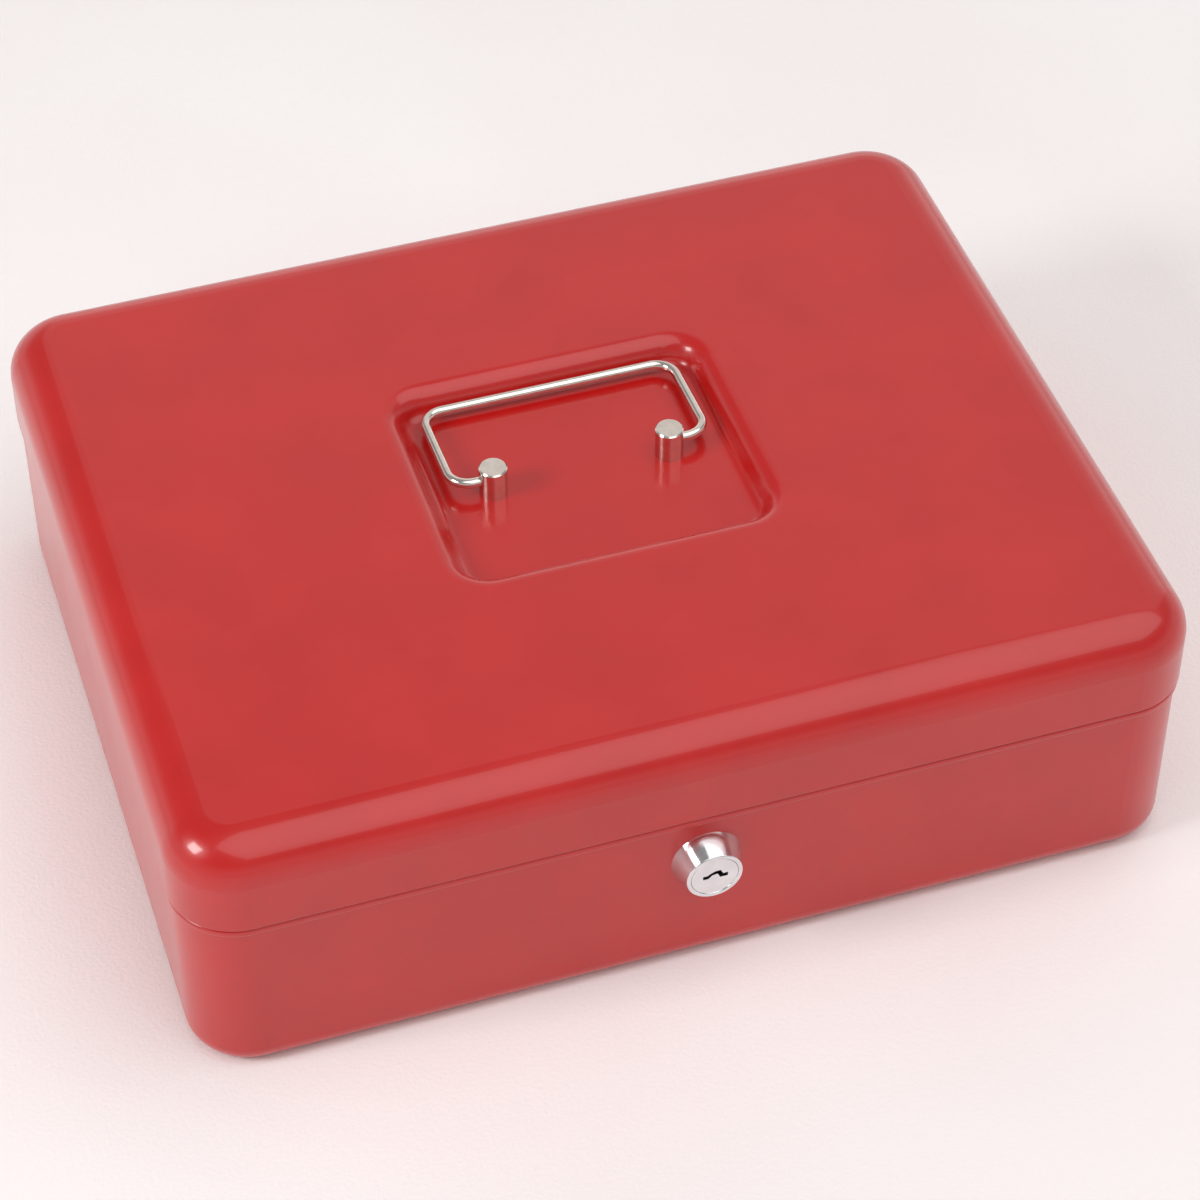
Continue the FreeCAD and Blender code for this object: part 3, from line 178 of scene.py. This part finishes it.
def red_stoving_enamel():
    material, shader, place = new_finish("red_stoving_enamel", IOR=1.5, Coat_Weight=0.45,
                                         Coat_Roughness=0.05, Coat_IOR=1.5)
    peel = grain(material, place, size=PEEL_SIZE, detail=1.0)
    waves = grain(material, place, size=PRESS_WAVE_SIZE, detail=0.0)
    clouds = grain(material, place, size=CLOUD_SIZE, detail=4.0)
    vary_colour(material, shader, clouds, dark="#B8100E", light="#BF1512")
    vary_roughness(material, shader, clouds, smooth=0.28, rough=0.32)
    add_bump(material, shader, [(waves, 0.05 * MM), (peel, 0.004 * MM)])
    add_dust_nibs(material, shader, place)
    return material


enamel = red_stoving_enamel()
print("made", enamel.name)

# %% [markdown]
# **Plated metals.** The handle wire and posts are steel under bright nickel, which is a warm, slightly
# hazy mirror with faint lines left from drawing and turning. The lock is a zinc casting, polished and
# chromed: a cold, sharper mirror. The hidden fittings are only zinc plated, with a dull crystalline
# bloom. A metal's colour is all in its reflection, so each is fully metallic and keeps the default
# index.

# %% Nickel, chrome and zinc
def bright_nickel_plate():
    material, shader, place = new_finish("bright_nickel_plate", Metallic=1.0)
    haze = grain(material, place, size=3 * MM, detail=4.0)
    turning = grain(material, place, size=0.5 * MM, detail=1.0, stretch=(0.25, 0.25, 1.0))
    vary_colour(material, shader, haze, dark="#DCD5CC", light="#E7E1D9")
    vary_roughness(material, shader, haze, smooth=0.10, rough=0.18)
    add_bump(material, shader, [(turning, 0.002 * MM)])
    return material


def polished_chrome_plate():
    material, shader, place = new_finish("polished_chrome_plate", Metallic=1.0)
    haze = grain(material, place, size=5 * MM, detail=3.0)
    buffing = grain(material, place, size=1.2 * MM, detail=2.0)
    vary_colour(material, shader, haze, dark="#DEDFE2", light="#E8E9EB")
    vary_roughness(material, shader, haze, smooth=0.11, rough=0.17)
    add_bump(material, shader, [(buffing, 0.0015 * MM)])
    return material


def satin_zinc_plate():
    material, shader, place = new_finish("satin_zinc_plate", Metallic=1.0)
    bloom = grain(material, place, size=2.5 * MM, detail=6.0)
    crystals = grain(material, place, size=0.35 * MM, detail=2.0)
    vary_colour(material, shader, bloom, dark="#A3A7AB", light="#BFC2C4")
    vary_roughness(material, shader, bloom, smooth=0.30, rough=0.48)
    add_bump(material, shader, [(crystals, 0.006 * MM)])
    return material


def stamped_brass():
    material, shader, place = new_finish("stamped_brass", Metallic=1.0)
    tarnish = grain(material, place, size=1.5 * MM, detail=4.0)
    vary_colour(material, shader, tarnish, dark="#B08A45", light="#CBA766")
    vary_roughness(material, shader, tarnish, smooth=0.22, rough=0.4)
    add_bump(material, shader, [(tarnish, 0.004 * MM)])
    return material


nickel = bright_nickel_plate()
chrome = polished_chrome_plate()
zinc = satin_zinc_plate()
brass = stamped_brass()
print("made", nickel.name, chrome.name, zinc.name, brass.name)

# %% [markdown]
# **Moulded polystyrene.** The tray is one thin black moulding. Its steel mould was lightly spark
# eroded, which leaves a fine, even grain that breaks up the shine. The grain is drawn at nearly half a
# millimetre, which is coarser than life, so that it shows.

# %% Black moulded polystyrene
MOULD_GRAIN_SIZE = 0.45 * MM


def black_polystyrene():
    material, shader, place = new_finish("black_moulded_polystyrene", IOR=1.59)
    spark = grain(material, place, size=MOULD_GRAIN_SIZE, detail=2.0)
    flow = grain(material, place, size=25 * MM, detail=2.0, stretch=(1.0, 0.3, 1.0))
    vary_colour(material, shader, flow, dark="#141415", light="#1B1B1C")
    vary_roughness(material, shader, flow, smooth=0.36, rough=0.46)
    add_bump(material, shader, [(spark, 0.02 * MM)])
    return material


polystyrene = black_polystyrene()
print("made", polystyrene.name)

# %% [markdown]
# Each CAD part names the slot of the finish that it is made in. Putting a material into the object's
# own slots changes its look and leaves its mesh alone.

# %% Dress the CAD parts
FINISHES = {"red_enamel": enamel, "bright_nickel": nickel, "lock_chrome": chrome,
            "zinc_plate": zinc, "brass": brass, "tray_plastic": polystyrene}
for subpart in frame["record"]["subparts"]:
    part = nodes[subpart["node"]]
    for slot in part.material_slots:
        slot.material = FINISHES[subpart["material_slot"]]

# %% [markdown]
# ## Small details
#
# Each detail below is modelled as a person would at the keyboard: a primitive is added where it
# belongs, then inset, extruded and bevelled in edit mode. Its place is moved into its mesh, so that the
# object itself stays at the origin like the CAD parts, and it rides on the body that it is fixed to.

# %% Modelling helpers
def in_edit_mode(piece, wanted):
    """Enters edit mode with only those faces selected whose middle and normal pass the test."""
    bpy.ops.object.mode_set(mode="EDIT")
    bpy.ops.mesh.select_mode(type="FACE")
    mesh = bmesh.from_edit_mesh(piece.data)
    for face in mesh.faces:
        face.select_set(wanted(face.calc_center_median(), face.normal))
    bmesh.update_edit_mesh(piece.data)


def fix_place():
    bpy.ops.object.transform_apply(location=True, rotation=True, scale=True)


def apply_modifier(piece, kind, **settings):
    modifier = piece.modifiers.new(kind.title(), kind)
    for name, value in settings.items():
        setattr(modifier, name, value)
    bpy.ops.object.modifier_apply(modifier=modifier.name)


def finish_piece(piece, name, body, slot):
    """Names the piece, rounds its look, dresses it and fixes it to its body."""
    bpy.ops.object.shade_smooth_by_angle(angle=math.radians(40))
    piece.name = name
    piece.data.name = name
    piece.data.materials.clear()
    piece.data.materials.append(FINISHES[slot])
    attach(piece, body)
    print(name, len(piece.data.polygons), "faces on", body)


# %% [markdown]
# **Spot welds.** The tray ledges and the catch plate are spot welded before the box is enamelled. The
# electrode leaves a shallow crater with a low rim, about 5 mm across, which the paint softens.

# %% Spot welds
WELD_RADIUS = 2.6 * MM
WELD_PROUD = 0.2 * MM
LEDGE_WELDS = 4
LEDGE_WELD_HEIGHT = 4.5 * MM
CATCH_WELD_SPACING = 15 * MM
CATCH_WELD_DROP = 4 * MM
STRIP_THICKNESS = 1 * MM


def weld_mark(spot, away):
    """One crater on a surface that faces away."""
    bpy.ops.object.select_all(action="DESELECT")
    turned = away.to_track_quat("Z", "Y").to_euler()
    bpy.ops.mesh.primitive_cylinder_add(vertices=32, radius=WELD_RADIUS, depth=2 * WELD_PROUD,
                                        location=spot, rotation=turned)
    mark = bpy.context.object
    fix_place()
    in_edit_mode(mark, lambda centre, normal: normal.dot(away) > 0.9)
    bpy.ops.mesh.inset(thickness=0.3 * WELD_RADIUS, depth=0)
    bpy.ops.mesh.inset(thickness=0.3 * WELD_RADIUS, depth=-0.7 * WELD_PROUD)
    bpy.ops.object.mode_set(mode="OBJECT")
    apply_modifier(mark, "BEVEL", width=0.6 * WELD_PROUD, segments=3)
    return mark


def weld_marks(name, body, spots, away):
    marks = [weld_mark(spot, away) for spot in spots]
    for mark in marks:
        mark.select_set(True)
    bpy.ops.object.join()
    finish_piece(bpy.context.object, name, body, "red_enamel")


def ledge_weld_marks(side_name, side):
    low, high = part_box("tray_ledge_" + side_name)
    face = (high.x if side == RIGHT else low.x) - side * STRIP_THICKNESS
    pitch = (high.y - low.y) / LEDGE_WELDS
    places = [low.y + pitch * (count + 0.5) for count in range(LEDGE_WELDS)]
    spots = [Vector((face, place, low.z + LEDGE_WELD_HEIGHT)) for place in places]
    weld_marks("ledge_weld_marks_" + side_name, "base", spots, Vector((-side, 0, 0)))


def catch_weld_marks():
    low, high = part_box("catch_plate")
    face = low.y + STRIP_THICKNESS
    level = high.z - CATCH_WELD_DROP
    spots = [Vector((side * CATCH_WELD_SPACING / 2, face, level)) for side in (LEFT, RIGHT)]
    weld_marks("catch_weld_marks", "lid", spots, Vector((0, 1, 0)))


ledge_weld_marks("left", LEFT)
ledge_weld_marks("right", RIGHT)
catch_weld_marks()

# %% [markdown]
# **Lock thread.** The nut holds the lock on the thread of its barrel. The thread is one low ridge: a
# triangle drawn round the barrel with the Screw modifier, from the nut to the barrel's end.

# %% Lock thread
THREAD_PITCH = 1.0 * MM
THREAD_HEIGHT = 0.3 * MM
THREAD_STEPS = 64
THREAD_START = 0.6 * THREAD_PITCH
BARREL_RADIUS = 7.8 * MM


def lock_barrel_thread():
    nut_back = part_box("lock_nut")[1].y
    housing_low, housing_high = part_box("lock_housing")
    turns = int((housing_high.y - nut_back) / THREAD_PITCH) - 1
    bpy.ops.object.select_all(action="DESELECT")
    outwards = (math.radians(90), math.radians(90), 0)
    bpy.ops.mesh.primitive_circle_add(vertices=3, radius=THREAD_HEIGHT, location=(BARREL_RADIUS, 0, 0),
                                      rotation=outwards)
    ridge = bpy.context.object
    fix_place()
    apply_modifier(ridge, "SCREW", screw_offset=THREAD_PITCH, iterations=turns, steps=THREAD_STEPS,
                   render_steps=THREAD_STEPS)
    axis = (housing_low + housing_high) / 2
    ridge.rotation_euler = (math.radians(-90), 0, 0)
    ridge.location = (axis.x, nut_back + THREAD_START, axis.z)
    fix_place()
    in_edit_mode(ridge, lambda centre, normal: True)
    bpy.ops.mesh.fill_holes(sides=3)
    bpy.ops.mesh.normals_make_consistent(inside=False)
    bpy.ops.object.mode_set(mode="OBJECT")
    finish_piece(ridge, "lock_barrel_thread", "base", "lock_chrome")


lock_barrel_thread()

# %% [markdown]
# **Beads.** Two low beads run right round the box. The base has one at its shoulder, where the wall was
# set in to form the neck and the sheet swelled out a little: it fills the shade under the lid with a
# rounded edge. The tray has one on its rim, which stiffens the thin moulding and is where fingers find
# its edge. A bead starts as a plane with rounded corners, is cut down to a ring, drawn up and rounded
# over.

# %% Beads
BASE_CORNER = 19 * MM
SHOULDER_BEAD_PROUD = 0.75 * MM
SHOULDER_BEAD_WIDTH = 1.5 * MM
SHOULDER_BEAD_HEIGHT = 2.4 * MM
SHOULDER_BEAD_ROUNDING = 0.74 * MM
SHOULDER_BEAD_DROP = 0.25 * MM
TRAY_CORNER = 16 * MM
TRAY_BEAD_WIDTH = 1.8 * MM
TRAY_BEAD_HEIGHT = 0.6 * MM
TRAY_BEAD_ROUNDING = 0.27 * MM
TRAY_BEAD_INSET = 1.7 * MM


def bead_round(low, high, bottom, corner, width, height, rounding):
    """A ring just inside a box's outline, its long edges rounded."""
    middle = (low + high) / 2
    bpy.ops.object.select_all(action="DESELECT")
    bpy.ops.mesh.primitive_plane_add(size=1, location=(middle.x, middle.y, bottom))
    bead = bpy.context.object
    bead.scale = (high.x - low.x, high.y - low.y, 1)
    fix_place()
    in_edit_mode(bead, lambda centre, normal: True)
    bpy.ops.mesh.bevel(affect="VERTICES", offset=corner, segments=24)
    bpy.ops.mesh.inset(thickness=width, depth=0)
    bpy.ops.mesh.delete(type="FACE")
    bpy.ops.mesh.select_all(action="SELECT")
    bpy.ops.mesh.extrude_region_move(TRANSFORM_OT_translate={"value": (0, 0, height)})
    bpy.ops.mesh.select_all(action="SELECT")
    bpy.ops.mesh.normals_make_consistent(inside=False)
    bpy.ops.object.mode_set(mode="OBJECT")
    apply_modifier(bead, "BEVEL", width=rounding, segments=6, limit_method="ANGLE")
    return bead


def shoulder_bead():
    base_low, base_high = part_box("base_shell")
    proud = Vector((SHOULDER_BEAD_PROUD, SHOULDER_BEAD_PROUD, 0))
    bottom = lid_low.z - SHOULDER_BEAD_DROP - SHOULDER_BEAD_HEIGHT
    bead = bead_round(base_low - proud, base_high + proud, bottom, BASE_CORNER + SHOULDER_BEAD_PROUD,
                      SHOULDER_BEAD_WIDTH, SHOULDER_BEAD_HEIGHT, SHOULDER_BEAD_ROUNDING)
    finish_piece(bead, "base_shoulder_bead", "base", "red_enamel")


def tray_rim_bead():
    inset = Vector((TRAY_BEAD_INSET, TRAY_BEAD_INSET, 0))
    bead = bead_round(tray_low + inset, tray_high - inset, tray_high.z, TRAY_CORNER - TRAY_BEAD_INSET,
                      TRAY_BEAD_WIDTH, TRAY_BEAD_HEIGHT, TRAY_BEAD_ROUNDING)
    finish_piece(bead, "tray_rim_bead", "tray", "tray_plastic")


shoulder_bead()
tray_rim_bead()

# %% [markdown]
# ## Stage, lights and camera
#
# The box stands on pale paper-like cloth. The cloth is a plain plane, large enough to fill the view,
# with a faint weave so that it does not look like empty space.

# %% Floor
def pale_cloth():
    material, shader, place = new_finish("pale_backdrop_cloth", Roughness=0.9, IOR=1.4)
    threads = grain(material, place, size=1.3 * MM, detail=4.0)
    folds = grain(material, place, size=180 * MM, detail=2.0)
    vary_colour(material, shader, folds, dark="#F8F4F3", light="#FBF9F8")
    add_bump(material, shader, [(folds, 0.6 * MM), (threads, 0.22 * MM)])
    return material


def make_floor(size):
    bpy.ops.object.select_all(action="DESELECT")
    bpy.ops.mesh.primitive_plane_add(size=size, location=(0, 0, 0))
    floor = bpy.context.object
    floor.name = "floor"
    floor.data.materials.append(pale_cloth())
    return floor


floor = make_floor(size=8.0)
print("floor", floor.dimensions.x, "m wide")

# %% [markdown]
# Glossy enamel is a picture of its studio, so the lights are laid out as in a real one: a bright wall
# behind, which washes the lid, a wide softbox overhead in front, whose reflection runs along the front
# edge, and a smaller lamp to the left that makes the round spark on the corner. Each light is given by
# the direction that it is seen in from the box, which is how a studio hand would describe it.

# %% Lights
def softbox(name, azimuth, elevation, distance, width, height, radiance, colour="#FFFFFF"):
    """A rectangular light. Azimuth is in degrees from +Y towards +X; radiance is its brightness."""
    turn, rise = math.radians(azimuth), math.radians(elevation)
    away = Vector((math.sin(turn) * math.cos(rise), math.cos(turn) * math.cos(rise), math.sin(rise)))
    light = bpy.data.lights.new(name, "AREA")
    light.shape = "RECTANGLE"
    light.size = width
    light.size_y = height
    light.energy = radiance * math.pi * width * height
    light.color = linear(colour)[:3]
    lamp = bpy.data.objects.new(name, light)
    lamp.location = away * distance
    lamp.rotation_euler = away.to_track_quat("Z", "Y").to_euler()
    lamp.visible_camera = False
    bpy.context.scene.collection.objects.link(lamp)
    return lamp


softbox("wall_behind", azimuth=30, elevation=31, distance=2.2, width=2.7, height=2.0, radiance=0.46,
        colour="#FFF6F1")
softbox("overhead_box", azimuth=138, elevation=68, distance=1.9, width=2.6, height=2.0, radiance=1.36)
softbox("left_lamp", azimuth=-98, elevation=36, distance=1.6, width=0.46, height=0.46, radiance=14.5)

# %% [markdown]
# The rest of the room is dim above and pale near the ground, where the cloth sweeps up. A colour ramp
# over the height of the sky's direction draws that in one stroke.

# %% Room
HORIZON_END = 0.15
CEILING_START = 0.38
ROOM_BRIGHTNESS = 1.08


def studio_room():
    world = bpy.data.worlds.new("studio_room")
    bpy.context.scene.world = world
    world.use_nodes = True
    world.node_tree.nodes.clear()
    place = add_node(world, "ShaderNodeTexCoord")
    parts = add_node(world, "ShaderNodeSeparateXYZ", Vector=(place, "Generated"))
    ramp = add_node(world, "ShaderNodeValToRGB", Fac=(parts, "Z"))
    ramp.color_ramp.elements[0].position = HORIZON_END
    ramp.color_ramp.elements[0].color = linear("#E6DEDE")
    ramp.color_ramp.elements[1].position = CEILING_START
    ramp.color_ramp.elements[1].color = linear("#959292")
    sky = add_node(world, "ShaderNodeBackground", Color=(ramp, "Color"), Strength=ROOM_BRIGHTNESS)
    output = add_node(world, "ShaderNodeOutputWorld")
    world.node_tree.links.new(sky.outputs["Background"], output.inputs["Surface"])
    bpy.context.scene.view_settings.view_transform = "Standard"
    return world


print("room", studio_room().name)

# %% [markdown]
# The camera looks down from the front left, a little more than a metre away, through a long lens that
# keeps the box's edges nearly parallel.

# %% Camera
CAMERA_PLACE = Vector((-234.0, -742.0, 814.9)) * MM
CAMERA_AZIMUTH = -18.0
CAMERA_ELEVATION = 45.19
CAMERA_LENS = 108.22


def make_camera():
    data = bpy.data.cameras.new("camera")
    data.lens = CAMERA_LENS
    data.sensor_width = 36.0
    data.clip_start = 0.01
    camera = bpy.data.objects.new("camera", data)
    camera.location = CAMERA_PLACE
    camera.rotation_euler = (math.radians(90 - CAMERA_ELEVATION), 0, math.radians(CAMERA_AZIMUTH))
    bpy.context.scene.collection.objects.link(camera)
    bpy.context.scene.camera = camera
    return camera


print("camera", make_camera().name, "lens", CAMERA_LENS, "mm")
